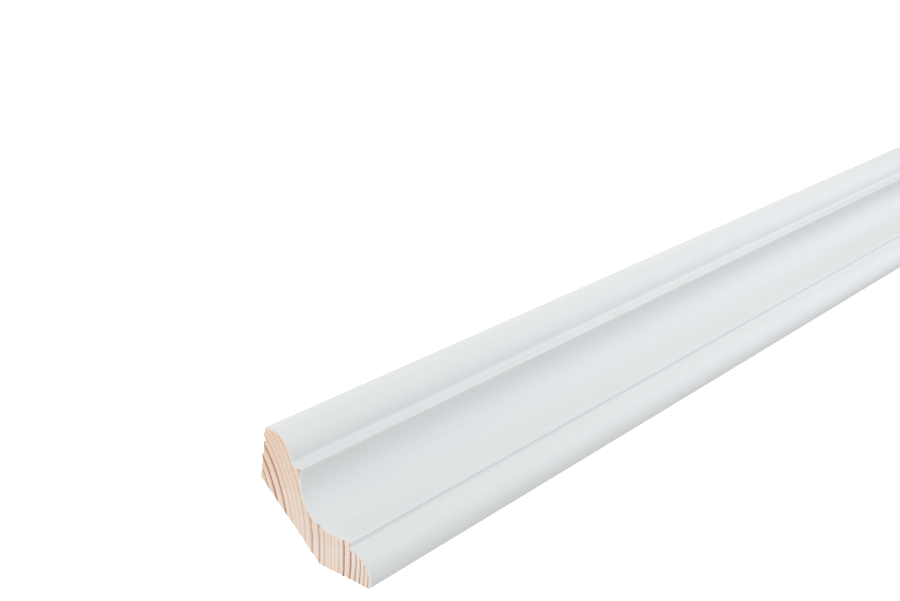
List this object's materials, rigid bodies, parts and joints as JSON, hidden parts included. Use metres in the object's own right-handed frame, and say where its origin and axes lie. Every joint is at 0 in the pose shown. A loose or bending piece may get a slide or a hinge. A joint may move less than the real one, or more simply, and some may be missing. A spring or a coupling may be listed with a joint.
{
  "type": "crown moulding length",
  "caption": "Straight length of painted pine crown moulding with an ovolo, a ledge, a cove and a rounded toe, cut square at both ends.",
  "frame": {"origin": "middle of the wall seat, the flat strip behind the upper lip that bears on the wall", "axes": "+X along the length, +Y out of the wall seat into the wall, +Z away from the ceiling seat; a half turn about X puts the length into a ceiling corner"},
  "size_m": [0.56, 0.0425, 0.0352],
  "materials": {
    "pine": "bare sawn ends and planed back",
    "white_paint": "satin white paint on the face and both lips"
  },
  "bodies": {
    "root": {"crown_moulding": "pine"}
  },
  "joints": []
}
